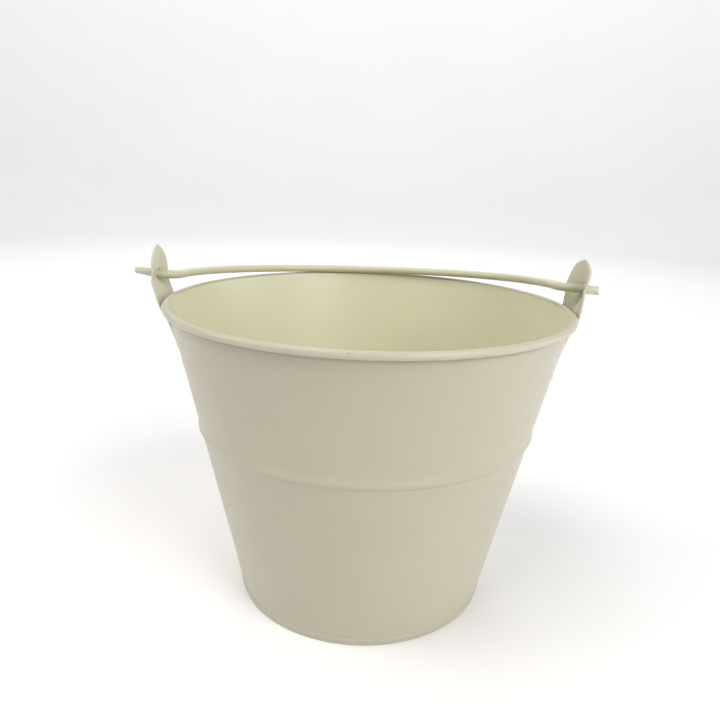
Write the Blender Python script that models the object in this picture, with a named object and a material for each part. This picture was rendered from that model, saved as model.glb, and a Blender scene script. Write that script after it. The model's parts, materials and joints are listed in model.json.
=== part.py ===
"""A small painted steel florist's pail with a swinging wire bail.

The pail stands on its hem with the origin at the centre of its foot.
Z is up, the two ears face -X and +X, and the bail rests on the rear rim, at +Y.
"""

import math

import bmesh
import bpy
import numpy as np
from mathutils import Vector

MM = 0.001

# Sheet metal and the clearance between pieces that touch on the real pail
SHEET = 0.4 * MM
GAP = 0.3 * MM
TURN_STEPS = 60

# Wall: a cone with a hem at the foot, one raised bead and a rolled rim
FOOT_RADIUS = 53.1 * MM
HEM_BAND_TOP = 2.9 * MM
HEM_BAND_FLARE = 0.5 * MM
HEM_STEP_TOP = 3.6 * MM
HEM_STEP = 0.25 * MM
HEM_CORNER = 0.3 * MM
HEM_RETURN_TOP = 2.2 * MM
HEM_WIDTH = 2 * (SHEET + GAP)
BEAD_HEIGHT = 75.7 * MM
BEAD_HALF_WIDTH = 2.5 * MM
BEAD_RISE = 0.75 * MM
RIM_RADIUS = 75.64 * MM
RIM_HEIGHT = 120.6 * MM
CURL_RADIUS = 1.1 * MM
CURL_SWEEP = math.radians(285)
RIM_WIRE_RADIUS = CURL_RADIUS - SHEET / 2 - GAP

# Bottom: a shallow pan whose flange stands in the folded hem
FLOOR_MIDDLE = 3.0 * MM
PAN_CORNER = 0.7 * MM

# Ears: strips of thicker sheet, creased outward along their middle above the rim,
# with both edges turned in towards the wall below it
EAR_SHEET = 0.8 * MM
EAR_HALF_WIDTH = 11.4 * MM
EAR_FOOT = 91.0 * MM
EAR_LEAVES_WALL = 99.0 * MM
EAR_FOOT_CORNER = 5.0 * MM
EAR_HEAD_START = RIM_HEIGHT + 4.0 * MM
EAR_CREASE_RADIUS = 1.2 * MM
EAR_ROWS = 32
EAR_COLUMNS = 16
EAR_BENDS = (12.0 * MM, 3.0 * MM)
EAR_FLAT_HALF = 7.0 * MM
EAR_WRAP_ENDS = 112.0 * MM
EAR_EDGE_LEAVES_WALL = 110.0 * MM
EAR_EDGE_FREE = 118.5 * MM
EAR_TWIST_STARTS = 105.0 * MM
EAR_TWIST_ENDS = 126.0 * MM

# How each ear was bent by hand: where the crease turns upright, where the tip ends and how
# far it leans to one side, how deep the crease is at the rim, at the eye and at the tip,
# how far the head is twisted, and how square each side of the head is
EARS = {
    "ear_left": {
        "half_turn": math.pi,
        "upright": (80.9 * MM, 127.3 * MM),
        "tip": (79.1 * MM, 139.9 * MM),
        "lean": 2.3 * MM,
        "crease": (0.3 * MM, 1.2 * MM, 0.1 * MM),
        "twist": 0.067,
        "arch": (4.1, 5.9),
    },
    "ear_right": {
        "half_turn": 0.0,
        "upright": (81.0 * MM, 128.0 * MM),
        "tip": (79.8 * MM, 139.7 * MM),
        "lean": 2.0 * MM,
        "crease": (1.7 * MM, 4.5 * MM, 0.1 * MM),
        "twist": -0.006,
        "arch": (6.2, 9.3),
    },
}

# Rivets: two side by side through each ear's foot and the wall
RIVET_HEIGHT = 96.5 * MM
RIVET_OFFSET = 5.5 * MM
RIVET_SHANK_RADIUS = 1.3 * MM
RIVET_HEAD_RADIUS = 2.5 * MM
RIVET_HEAD_RISE = 0.85 * MM
RIVET_TAIL_RADIUS = 2.3 * MM
RIVET_TAIL_PLANE = 1.2 * MM
RIVET_TAIL_RISE = 0.7 * MM
RIVET_STEPS = 16

# Bail: one wire that runs straight through both ears and turns in one elbow inside each
WIRE_RADIUS = 1.6 * MM
PIVOT_HEIGHT = 129.0 * MM
BAIL_HALF_SPAN = 72.8 * MM
BAIL_REACH = 74.0 * MM
BAIL_ELBOW = 6.0 * MM
BAIL_END = 88.0 * MM
BAIL_SLIP = -1.2 * MM
BAIL_EAR_SPAN = 81.35 * MM
BAIL_RACK_LEFT = 0.3 * MM
BAIL_RACK_RIGHT = 0.7 * MM
BAIL_LEFT_END_RISE = 0.7 * MM
BAIL_ARC_POINTS = 40
EYE_RADIUS = 1.95 * MM

CREAM = (0.66, 0.62, 0.47, 1.0)
BARE_STEEL = (0.48, 0.49, 0.50, 1.0)


def clear_scene():
    """Remove every object that the file opens with."""
    for item in list(bpy.data.objects):
        bpy.data.objects.remove(item, do_unlink=True)


def finish(name, colour, roughness, metallic):
    """Make a plain material of one colour."""
    material = bpy.data.materials.new(name)
    material.use_nodes = True
    shader = material.node_tree.nodes["Principled BSDF"]
    shader.inputs["Base Color"].default_value = colour
    shader.inputs["Roughness"].default_value = roughness
    shader.inputs["Metallic"].default_value = metallic
    material.diffuse_color = colour
    return material


def paint(name):
    """Cream paint over steel."""
    return finish(name + "_paint", CREAM, 0.4, 0.0)


def add_object(name, data, parent, material=None):
    """Put a mesh or a curve into the scene under its parent."""
    item = bpy.data.objects.new(name, data)
    bpy.context.scene.collection.objects.link(item)
    item.parent = parent
    if material:
        data.materials.append(material)
    return item


def smooth(mesh, sharp_degrees=35):
    """Shade round faces smooth and keep the hard edges."""
    mesh.shade_smooth()
    mesh.set_sharp_from_angle(angle=math.radians(sharp_degrees))


def rounded(corners, radii, steps):
    """Follow straight lines through the corners, each one turned on an arc."""
    path = [corners[0]]
    for before, corner, after, radius in zip(corners, corners[1:], corners[2:], radii):
        back = (before - corner).normalized()
        ahead = (after - corner).normalized()
        half_angle = back.angle(ahead) / 2
        centre = corner + (back + ahead).normalized() * radius / math.sin(half_angle)
        start = corner + back * radius / math.tan(half_angle) - centre
        end = corner + ahead * radius / math.tan(half_angle) - centre
        for step in range(steps + 1):
            path.append(centre + start.slerp(end, step / steps).normalized() * radius)
    path.append(corners[-1])
    return path


def thickened(path, thickness):
    """Close a sheet's centre line into the outline of its section."""
    one_side = []
    other_side = []
    for index, point in enumerate(path):
        before = path[max(index - 1, 0)]
        after = path[min(index + 1, len(path) - 1)]
        along = (after - before).normalized()
        across = Vector((-along.y, along.x)) * thickness / 2
        one_side.append(point + across)
        other_side.append(point - across)
    return one_side + other_side[::-1]


def turned_mesh(name, outline, steps, closed=True):
    """Turn an outline of (radius, height) points about the Z axis.

    A closed outline makes a ring. An open one starts and ends on the axis.
    """
    shape = bmesh.new()
    points = [shape.verts.new((point.x, 0.0, point.y)) for point in outline]
    edges = [shape.edges.new(pair) for pair in zip(points, points[1:])]
    if closed:
        edges.append(shape.edges.new((points[-1], points[0])))
    bmesh.ops.spin(
        shape,
        geom=points + edges,
        cent=(0.0, 0.0, 0.0),
        axis=(0.0, 0.0, 1.0),
        angle=math.tau,
        steps=steps,
        use_merge=True,
    )
    bmesh.ops.remove_doubles(shape, verts=shape.verts, dist=0.001 * MM)
    bmesh.ops.recalc_face_normals(shape, faces=shape.faces)
    mesh = bpy.data.meshes.new(name)
    shape.to_mesh(mesh)
    shape.free()
    smooth(mesh)
    return mesh


def cone_line():
    """Find where the wall's straight cone starts and how far it leans."""
    start = Vector((FOOT_RADIUS - SHEET / 2 + HEM_BAND_FLARE - HEM_STEP, HEM_STEP_TOP))
    to_curl = Vector((RIM_RADIUS, RIM_HEIGHT)) - start
    lean = math.atan2(to_curl.x, to_curl.y) - math.asin(CURL_RADIUS / to_curl.length)
    return start, lean


def wall_outside(height):
    """Radius of the wall's outer face at a height on the plain cone."""
    start, lean = cone_line()
    return start.x + (height - start.y) * math.tan(lean) + SHEET / 2 / math.cos(lean)


def wall_path():
    """Follow the wall's sheet from the hem's inner fold up to the end of the curl."""
    start, lean = cone_line()
    band = FOOT_RADIUS - SHEET / 2
    hem = [
        Vector((band - HEM_WIDTH, HEM_RETURN_TOP)),
        Vector((band - HEM_WIDTH, SHEET / 2)),
        Vector((band, SHEET / 2)),
        Vector((band + HEM_BAND_FLARE, HEM_BAND_TOP)),
    ]
    path = rounded(hem, (HEM_CORNER, HEM_CORNER), 2)
    path.append(start)
    outward = Vector((math.cos(lean), -math.sin(lean)))
    for share in (-1.0, -0.5, 0.0, 0.5, 1.0):
        height = BEAD_HEIGHT + share * BEAD_HALF_WIDTH
        on_cone = Vector((start.x + (height - start.y) * math.tan(lean), height))
        rise = BEAD_RISE * (1 + math.cos(share * math.pi)) / 2
        path.append(on_cone + outward * rise)
    curl_steps = 12
    for step in range(curl_steps + 1):
        turn = math.pi - lean - CURL_SWEEP * step / curl_steps
        reach = Vector((math.cos(turn), math.sin(turn))) * CURL_RADIUS
        path.append(Vector((RIM_RADIUS, RIM_HEIGHT)) + reach)
    return path


def make_wall(parent):
    """The pail's body: one sheet, hemmed at the foot and curled at the rim."""
    outline = thickened(wall_path(), SHEET)
    mesh = turned_mesh("body_wall", outline, TURN_STEPS)
    return add_object("body_wall", mesh, parent, paint("body_wall"))


def make_rim_wire(parent):
    """The steel wire that the rim is curled around."""
    sides = 8
    outline = []
    for side in range(sides):
        turn = math.tau * side / sides
        reach = Vector((math.cos(turn), math.sin(turn))) * RIM_WIRE_RADIUS
        outline.append(Vector((RIM_RADIUS, RIM_HEIGHT)) + reach)
    mesh = turned_mesh("rim_wire", outline, TURN_STEPS)
    steel = finish("rim_wire_steel", BARE_STEEL, 0.35, 1.0)
    return add_object("rim_wire", mesh, parent, steel)


def make_base(parent):
    """The bottom: a shallow pan, its flange held in the hem."""
    flange = FOOT_RADIUS - SHEET / 2 - HEM_WIDTH / 2
    corners = [
        Vector((0.0, FLOOR_MIDDLE)),
        Vector((flange, FLOOR_MIDDLE)),
        Vector((flange, SHEET + GAP)),
    ]
    outline = thickened(rounded(corners, (PAN_CORNER,), 4), SHEET)
    mesh = turned_mesh("base_disc", outline, TURN_STEPS, closed=False)
    return add_object("base_disc", mesh, parent, paint("base_disc"))


def ear_line(shape):
    """Follow the inner face of an ear's crease from the foot to the tip."""
    corners = [
        Vector((wall_outside(EAR_FOOT) + GAP, EAR_FOOT)),
        Vector((wall_outside(EAR_LEAVES_WALL) + GAP, EAR_LEAVES_WALL)),
        Vector(shape["upright"]),
        Vector(shape["tip"]),
    ]
    path = rounded(corners, EAR_BENDS, 8)
    lengths = [0.0]
    for before, after in zip(path, path[1:]):
        lengths.append(lengths[-1] + (after - before).length)
    stations = np.linspace(0.0, lengths[-1], EAR_ROWS)
    out = np.interp(stations, lengths, [point.x for point in path])
    up = np.interp(stations, lengths, [point.y for point in path])
    return list(zip(out, up))


def ear_edges(height, shape):
    """Where the ear's two edges are: round corners at the foot, a pointed arch at the head."""
    above_foot = height - EAR_FOOT
    if above_foot < EAR_FOOT_CORNER:
        inset = EAR_FOOT_CORNER - above_foot
        bow = math.sqrt(EAR_FOOT_CORNER**2 - min(inset, EAR_FOOT_CORNER)**2)
        half = EAR_HALF_WIDTH - EAR_FOOT_CORNER + bow
        return -half, half
    share = max(0.0, (height - EAR_HEAD_START) / (shape["tip"][1] - EAR_HEAD_START))
    low = -EAR_HALF_WIDTH + (EAR_HALF_WIDTH + shape["lean"]) * share ** shape["arch"][0]
    high = EAR_HALF_WIDTH - (EAR_HALF_WIDTH - shape["lean"]) * share ** shape["arch"][1]
    return low, high


def ear_bow(across, height, out, shape):
    """How far a point of the ear lies inside the line of its middle."""
    wall = wall_outside(height) + GAP
    wrap = wall - math.sqrt(wall**2 - across**2)
    crease_heights = (EAR_LEAVES_WALL, RIM_HEIGHT, PIVOT_HEIGHT, shape["tip"][1])
    depth = np.interp(height, crease_heights, (0.0,) + shape["crease"])
    fold = depth * (math.hypot(across, EAR_CREASE_RADIUS) - EAR_CREASE_RADIUS) / EAR_HALF_WIDTH
    twist = shape["twist"] * across
    twist *= np.interp(height, (EAR_TWIST_STARTS, EAR_TWIST_ENDS), (0.0, 1.0))
    wrapped = np.interp(height, (EAR_LEAVES_WALL, EAR_WRAP_ENDS), (1.0, 0.0))
    free = wrap * wrapped + fold + twist
    on_wall = wrap + out - wall
    beyond = max(0.0, abs(across) - EAR_FLAT_HALF) / (EAR_HALF_WIDTH - EAR_FLAT_HALF)
    turned_in = np.interp(height, (EAR_EDGE_LEAVES_WALL, EAR_EDGE_FREE), (1.0, 0.0)) * beyond**2
    return free + (on_wall - free) * turned_in


def make_ear(name, shape, parent):
    """An ear: a strip bent out over the rim and creased along its middle."""
    sheet = bmesh.new()
    rows = []
    for out, up in ear_line(shape)[:-1]:
        low, high = ear_edges(up, shape)
        row = []
        for column in range(EAR_COLUMNS + 1):
            y = low + (high - low) * column / EAR_COLUMNS
            row.append(sheet.verts.new((out - ear_bow(y, up, out, shape), y, up)))
        rows.append(row)
    for lower, upper in zip(rows, rows[1:]):
        for column in range(EAR_COLUMNS):
            sheet.faces.new((lower[column], lower[column + 1], upper[column + 1], upper[column]))
    tip_out, tip_height = shape["tip"]
    lean = shape["lean"]
    tip_bow = ear_bow(lean, tip_height, tip_out, shape)
    tip = sheet.verts.new((tip_out - tip_bow, lean, tip_height))
    for near, far in zip(rows[-1], rows[-1][1:]):
        sheet.faces.new((near, far, tip))
    mesh = bpy.data.meshes.new(name)
    sheet.to_mesh(mesh)
    sheet.free()
    smooth(mesh)
    ear = add_object(name, mesh, parent, paint(name))
    ear.rotation_euler.z = shape["half_turn"]
    thicken = ear.modifiers.new("Sheet", "SOLIDIFY")
    thicken.thickness = EAR_SHEET
    thicken.offset = 1.0
    thicken.use_even_offset = True
    return ear


def cutter(name, radius, length, parent):
    """A round bar, kept out of the model, that cuts a hole along its own Z."""
    bar = bmesh.new()
    bmesh.ops.create_cone(
        bar,
        cap_ends=True,
        segments=20,
        radius1=radius,
        radius2=radius,
        depth=length,
    )
    mesh = bpy.data.meshes.new(name)
    bar.to_mesh(mesh)
    bar.free()
    item = add_object(name, mesh, parent)
    item.hide_render = True
    item.display_type = "WIRE"
    return item


def cut(target, tool):
    """Cut the tool's shape out of the target."""
    boolean = target.modifiers.new(tool.name, "BOOLEAN")
    boolean.operation = "DIFFERENCE"
    boolean.object = tool


def make_rivet_mesh():
    """A rivet about +Z, whose zero is the wall's outer face: domed head, flat tail."""
    head_plane = EAR_SHEET + 2 * GAP
    outline = [Vector((0.0, head_plane + RIVET_HEAD_RISE))]
    dome_steps = 4
    for step in range(1, dome_steps + 1):
        turn = math.pi / 2 * step / dome_steps
        radius = RIVET_HEAD_RADIUS * math.sin(turn)
        outline.append(Vector((radius, head_plane + RIVET_HEAD_RISE * math.cos(turn))))
    outline += [
        Vector((RIVET_SHANK_RADIUS, head_plane)),
        Vector((RIVET_SHANK_RADIUS, -RIVET_TAIL_PLANE)),
        Vector((RIVET_TAIL_RADIUS, -RIVET_TAIL_PLANE)),
        Vector((RIVET_TAIL_RADIUS - GAP, -RIVET_TAIL_PLANE - RIVET_TAIL_RISE)),
        Vector((0.0, -RIVET_TAIL_PLANE - RIVET_TAIL_RISE)),
    ]
    return turned_mesh("rivet", outline, RIVET_STEPS, closed=False)


def place_rivet(item, side, offset):
    """Set a piece's +Z square to the wall, on the ear's foot at +X or -X."""
    lean = cone_line()[1]
    item.location = (side * wall_outside(RIVET_HEIGHT), offset, RIVET_HEIGHT)
    item.rotation_euler.y = side * (math.pi / 2 + lean)


def make_rivets(wall, ears, parent):
    """Four rivets, and the holes that they pass through."""
    mesh = make_rivet_mesh()
    mesh.materials.append(paint("rivet"))
    for ear_name, side in (("left", -1), ("right", 1)):
        for row_name, offset in (("front", -RIVET_OFFSET), ("rear", RIVET_OFFSET)):
            name = f"rivet_{ear_name}_{row_name}"
            rivet = add_object(name, mesh, parent)
            place_rivet(rivet, side, offset)
            hole = cutter(name + "_hole", RIVET_SHANK_RADIUS + GAP, 12 * MM, parent)
            place_rivet(hole, side, offset)
            cut(wall, hole)
            cut(ears["ear_" + ear_name], hole)


def make_eyes(ears, parent):
    """The eye in each ear, set so that the bail's wire hangs near its lower edge."""
    sag = EYE_RADIUS - WIRE_RADIUS - GAP
    for name, side in (("ear_left", -1), ("ear_right", 1)):
        eye = cutter(name + "_eye", EYE_RADIUS, 20 * MM, parent)
        eye.location = (side * EARS[name]["upright"][0], 0.0, PIVOT_HEIGHT + sag)
        eye.rotation_euler.y = math.pi / 2
        cut(ears[name], eye)


def bail_path():
    """Follow half the bail in its own plane, from the wire's end to the middle."""
    straight = [
        Vector((BAIL_END, 0.0)),
        Vector((BAIL_HALF_SPAN, 0.0)),
        Vector((BAIL_HALF_SPAN, BAIL_ELBOW)),
    ]
    path = rounded(straight, (BAIL_ELBOW,), 8)[:-1]
    path[1:1] = [Vector((BAIL_EAR_SPAN - BAIL_SLIP, 0.0)), Vector((BAIL_EAR_SPAN + BAIL_SLIP, 0.0))]
    depth = BAIL_REACH - BAIL_ELBOW
    for step in range(1, BAIL_ARC_POINTS // 2 + 1):
        turn = math.pi * step / BAIL_ARC_POINTS
        path.append(Vector((BAIL_HALF_SPAN * math.cos(turn), BAIL_ELBOW + depth * math.sin(turn))))
    return path


def bail_rack(x):
    """How far the bent wire lies off its own plane: down at the left elbow and up at the right."""
    ear = BAIL_EAR_SPAN - BAIL_SLIP if x > 0 else BAIL_EAR_SPAN + BAIL_SLIP
    beyond = max(0.0, abs(x) - BAIL_HALF_SPAN) / (ear - BAIL_HALF_SPAN)
    share = min(abs(x) / BAIL_HALF_SPAN, 1.0) - beyond
    if x > 0:
        return share * BAIL_RACK_RIGHT
    return BAIL_LEFT_END_RISE * max(0.0, beyond - 1) - share * BAIL_RACK_LEFT


def bail_rest_angle():
    """Angle below level at which the wire's middle comes to lie on the rear rim."""
    touch = CURL_RADIUS + SHEET / 2 + WIRE_RADIUS + GAP
    rise = math.sqrt(touch**2 - (RIM_RADIUS - BAIL_REACH) ** 2)
    return math.asin((PIVOT_HEIGHT - RIM_HEIGHT - rise) / BAIL_REACH)


def make_bail(parent):
    """The bail, which turns on the X axis through both eyes."""
    half = bail_path()
    points = [Vector((-point.x, point.y)) for point in half] + half[-2::-1]
    wire = bpy.data.curves.new("bail", "CURVE")
    wire.dimensions = "3D"
    wire.bevel_depth = WIRE_RADIUS
    wire.bevel_resolution = 3
    wire.use_fill_caps = True
    run = wire.splines.new("POLY")
    run.points.add(len(points) - 1)
    for knot, point in zip(run.points, points):
        knot.co = (point.x + BAIL_SLIP, point.y, bail_rack(point.x), 1.0)
    run.use_smooth = True
    pivot = bpy.data.objects.new("bail_pivot", None)
    bpy.context.scene.collection.objects.link(pivot)
    pivot.parent = parent
    pivot.location = (0.0, 0.0, PIVOT_HEIGHT)
    pivot.rotation_euler.x = -bail_rest_angle()
    return add_object("bail", wire, pivot, paint("bail"))


def build():
    """Make the whole pail."""
    clear_scene()
    pail = bpy.data.objects.new("florist_bucket", None)
    bpy.context.scene.collection.objects.link(pail)
    wall = make_wall(pail)
    make_rim_wire(pail)
    make_base(pail)
    ears = {name: make_ear(name, shape, pail) for name, shape in EARS.items()}
    make_rivets(wall, ears, pail)
    make_eyes(ears, pail)
    make_bail(pail)


build()
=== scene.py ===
"""The looks of a small painted steel florist's pail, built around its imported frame.

Every length is in metres, in the frame's own coordinates: Z is up, the origin is at the
centre of the pail's foot, the ears face -X and +X, and the bail rests on the rear rim.
"""

import json
import math

import bmesh
import bpy
import numpy as np
from mathutils import Matrix, Vector, noise
from mathutils.geometry import delaunay_2d_cdt


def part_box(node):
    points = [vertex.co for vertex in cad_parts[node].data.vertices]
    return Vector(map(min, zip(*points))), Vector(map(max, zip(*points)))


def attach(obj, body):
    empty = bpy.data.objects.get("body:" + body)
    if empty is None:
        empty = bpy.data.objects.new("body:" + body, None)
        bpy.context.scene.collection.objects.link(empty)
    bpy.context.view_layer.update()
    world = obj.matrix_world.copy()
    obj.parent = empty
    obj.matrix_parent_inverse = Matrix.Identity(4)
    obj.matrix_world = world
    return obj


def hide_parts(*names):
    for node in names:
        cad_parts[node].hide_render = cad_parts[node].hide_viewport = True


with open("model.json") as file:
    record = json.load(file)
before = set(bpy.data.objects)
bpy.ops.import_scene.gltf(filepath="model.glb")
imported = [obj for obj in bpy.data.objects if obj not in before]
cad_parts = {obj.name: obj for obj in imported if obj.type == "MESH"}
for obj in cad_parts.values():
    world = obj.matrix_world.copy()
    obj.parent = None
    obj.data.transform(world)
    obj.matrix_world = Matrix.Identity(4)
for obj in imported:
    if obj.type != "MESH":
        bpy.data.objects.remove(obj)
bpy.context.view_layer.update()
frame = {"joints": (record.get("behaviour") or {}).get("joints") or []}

MM = 0.001

# Sheet metal and the clearance between pieces, as in the frame
SHEET = 0.4 * MM
GAP = 0.3 * MM

# Places read from the frame
WALL_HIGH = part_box("body_wall")[1]
PAN_LOW, PAN_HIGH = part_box("base_disc")
BAIL_LOW, BAIL_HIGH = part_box("bail")
PIVOT = Vector(frame["joints"][0]["pos_m"])

# Rim: the sheet is curled around a steel wire
CURL_RADIUS = 1.1 * MM
CURL_SWEEP = math.radians(300)
RIM_RADIUS = WALL_HIGH.y - SHEET / 2 - CURL_RADIUS
RIM_HEIGHT = WALL_HIGH.z - SHEET / 2 - CURL_RADIUS
RIM_WIRE_RADIUS = CURL_RADIUS - SHEET / 2 - GAP

# Foot: the sheet is folded in around the bottom pan's flange
HEM_WIDTH = 2 * (SHEET + GAP)
FOOT_RADIUS = PAN_HIGH.x + HEM_WIDTH / 2
HEM_BAND_TOP = 2.9 * MM
HEM_BAND_FLARE = 0.5 * MM
HEM_STEP_TOP = 3.6 * MM
HEM_STEP = 0.25 * MM
HEM_CORNER = 0.35 * MM
HEM_RETURN_TOP = 2.2 * MM
PAN_FLOOR = 3.0 * MM
PAN_CORNER = 0.7 * MM

# Bead pressed out of the wall
BEAD_HEIGHT = 75.7 * MM
BEAD_HALF_WIDTH = 2.5 * MM
BEAD_RISE = 0.75 * MM

# Painted shade: the wall's paint is darkened just under the curl, under the bead and in the hem's
# step, where shade falls:
# each band's upper edge, how far down it fades, and how strongly it darkens
PAINTED_SHADE_FACTOR = 0.68
PAINTED_SHADE_BANDS = (
    (RIM_HEIGHT - CURL_RADIUS, 2.2 * MM, 0.9),
    (BEAD_HEIGHT - BEAD_HALF_WIDTH * 0.6, 1.4 * MM, 0.25),
    (HEM_STEP_TOP, 0.8 * MM, 0.15),
)

# Lapped side seam, under the left ear
SEAM_ANGLE = math.pi
SEAM_WIDTH = 5.0 * MM
SEAM_RISE = 0.30 * MM
SEAM_GROOVE = 0.10 * MM
SEAM_STEP = 0.30 * MM

# How far the rolled wall and the pan's floor lie out of true, and over what lengths
RIPPLE_DEPTH = 0.11 * MM
RIPPLE_LENGTH = 28 * MM
RIPPLE_AROUND = 2.2
RIPPLE_INWARD = 0.6
OVAL_DEPTH = 0.10 * MM
OVAL_TURN = 0.6
PAN_WARP = 0.10 * MM
PAN_WARP_LENGTH = 26 * MM

# Ears
EAR_SHEET = 0.8 * MM
EAR_HALF_WIDTH = 11.4 * MM
EAR_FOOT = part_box("ear_left")[0].z
EAR_LEAVES_WALL = EAR_FOOT + 8.0 * MM
EAR_FOOT_CORNER = 5.0 * MM
EAR_HEAD_START = RIM_HEIGHT + 4.0 * MM
EAR_CREASE_RADIUS = 1.2 * MM
EAR_BENDS = (12.0 * MM, 3.0 * MM)
EAR_FLAT_HALF = 7.0 * MM
EAR_WRAP_ENDS = 112.0 * MM
EAR_EDGE_LEAVES_WALL = 110.0 * MM
EAR_EDGE_FREE = 118.5 * MM
EAR_TWIST_STARTS = 105.0 * MM
EAR_TWIST_ENDS = 126.0 * MM
EAR_EDGE_RADIUS = 0.34 * MM

# How each ear was bent by hand: where the crease turns upright, where the tip ends and how
# far it leans to one side, how deep the crease is at the rim, at the eye and at the tip,
# how far the head is twisted, and how square each side of the head is
EARS = {
    "ear_left": {
        "side": -1,
        "upright": (80.9 * MM, 127.3 * MM),
        "tip": (79.1 * MM, 139.9 * MM),
        "lean": 2.3 * MM,
        "crease": (0.3 * MM, 1.2 * MM, 0.1 * MM),
        "twist": 0.067,
        "arch": (4.1, 5.9),
    },
    "ear_right": {
        "side": 1,
        "upright": (81.0 * MM, 128.0 * MM),
        "tip": (79.8 * MM, 139.7 * MM),
        "lean": 2.0 * MM,
        "crease": (1.7 * MM, 4.5 * MM, 0.1 * MM),
        "twist": -0.006,
        "arch": (6.2, 9.3),
    },
}

# Rivets through each ear's foot and the wall
RIVET_HEIGHT = 96.5 * MM
RIVET_OFFSET = 5.5 * MM
RIVET_SHANK_RADIUS = 1.3 * MM
RIVET_HEAD_RADIUS = 2.5 * MM
RIVET_HEAD_RISE = 0.6 * MM
RIVET_TAIL_RADIUS = 2.3 * MM
RIVET_BRIM = 0.15 * MM
RIVET_EDGE_ROUND = 0.35 * MM
RIVET_UNDERCUT = 0.12 * MM
RIVET_TAIL_RISE = 0.7 * MM

# Bail: one bent wire through both eyes
WIRE_RADIUS = 1.6 * MM
EYE_RADIUS = 1.95 * MM
BAIL_HALF_SPAN = 72.8 * MM
BAIL_REACH = 74.0 * MM
BAIL_ELBOW = 6.0 * MM
BAIL_SLIP = (BAIL_LOW.x + BAIL_HIGH.x) / 2
BAIL_EAR_SPAN = 81.35 * MM
BAIL_RACK = {-1: 0.3 * MM, 1: 0.7 * MM}
BAIL_LEFT_END_RISE = 0.7 * MM
BAIL_WANDER = 0.10 * MM
BAIL_TAPER = 0.26
BAIL_TAPER_LENGTH = 8 * MM
LEFT_CUT_DEPTH = 0.5 * MM
LEFT_CUT_ROOM = 0.65 * MM
RIGHT_CUT_DEPTH = 0.35 * MM
RIGHT_CUT_SLANT = 0.4

# Rounded cut end of a wire: each ring's share of the radius and of the cut's depth
CUT_RINGS = ((0.97, 0.45), (0.88, 0.8), (0.72, 0.95), (0.4, 1.0), (0.1, 0.98))

# Camera, fitted to the photo's perspective
CAMERA_PLACE = (0.0, -245.23 * MM, 166.54 * MM)
CAMERA_TILT = math.radians(65.98)
CAMERA_ROLL = math.radians(2.15)
CAMERA_LENS = 31.54
CAMERA_SHIFT = (-0.0061, 0.1306)

# Paint: lit and shaded copies of one cream, with painted light and shade in the colour: outside
# darker (painted shade), and lighter, as painted light, inside and on the pan, on the curl, and on
# the ears, rivets and bail
CREAM_SHADED_OUTSIDE = (0.465, 0.438, 0.334, 1.0)
CREAM_LIT_INSIDE = (0.675, 0.661, 0.485, 1.0)
CREAM_LIT_RIM = (0.505, 0.482, 0.367, 1.0)
CREAM_LIT_EARS = (0.57, 0.55, 0.408, 1.0)
CHIP_COLOUR = (0.13, 0.12, 0.09, 1.0)

# Chips on the rim: azimuth and turn up the curl in degrees, and radius
CHIPS = (
    (-94, 35, 0.26 * MM),
    (-35, 120, 0.3 * MM),
    (62, 60, 0.3 * MM),
    (137, 40, 0.35 * MM),
)

# Soft boxes about the pail: azimuth and height in degrees, power in watts, tint
WHITE = (1.0, 1.0, 1.0)
WARM_WHITE = (1.0, 0.98, 0.95)
LAMP_DISTANCE = 1.5
LAMP_SIZE = 0.8
LAMP_TARGET = (0.0, 0.0, 0.06)
LAMPS = (
    ("key", 45, 40, 11.5, WHITE),
    ("window", 35, 16, 2.6, WHITE),
    ("high_left", 315, 65, 8.9, WARM_WHITE),
    ("side_left", 270, 40, 6.2, WARM_WHITE),
    ("rear", 180, 40, 3.3, WHITE),
    ("low_right", 95, 12, 4.0, WHITE),
)

# Strip light that brightens the floor behind the pail, and the even light from all round
BACKDROP_POWER = 25.0
BACKDROP_PLACE = (0.0, 0.9, 1.9)
BACKDROP_TARGET = (0.0, 2.4, 0.6)
BACKDROP_SIZE = (2.4, 0.5)
WORLD_STRENGTH = 0.03

# Studio floor: how far it reaches, where its wall ends, and how roundly it turns up
FLOOR_REACH = 2.2
STUDIO_WALL_TOP = (2.6, 1.6)
FLOOR_BEND = 0.9
FLOOR_DROP = 0.1 * MM


# ---------------------------------------------------------------- small helpers


def smooth_step(value, start, end):
    """Rise smoothly from 0 at start to 1 at end."""
    share = np.clip((value - start) / (end - start), 0.0, 1.0)
    return share * share * (3 - 2 * share)


def rounded(corners, radii, steps):
    """Follow straight lines through the corners, each one turned on an arc."""
    path = [Vector(corners[0])]
    for before, corner, after, radius in zip(corners, corners[1:], corners[2:], radii):
        corner = Vector(corner)
        back = (Vector(before) - corner).normalized()
        ahead = (Vector(after) - corner).normalized()
        half_angle = back.angle(ahead) / 2
        centre = corner + (back + ahead).normalized() * radius / math.sin(half_angle)
        start = corner + back * radius / math.tan(half_angle) - centre
        end = corner + ahead * radius / math.tan(half_angle) - centre
        for step in range(steps + 1):
            path.append(centre + start.slerp(end, step / steps).normalized() * radius)
    path.append(Vector(corners[-1]))
    return path


def divided(path, longest):
    """Add points so that no stretch of the path is longer than a given length."""
    result = [path[0]]
    for before, after in zip(path, path[1:]):
        pieces = max(1, math.ceil((after - before).length / longest))
        result += [before.lerp(after, piece / pieces) for piece in range(1, pieces + 1)]
    return result


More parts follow.
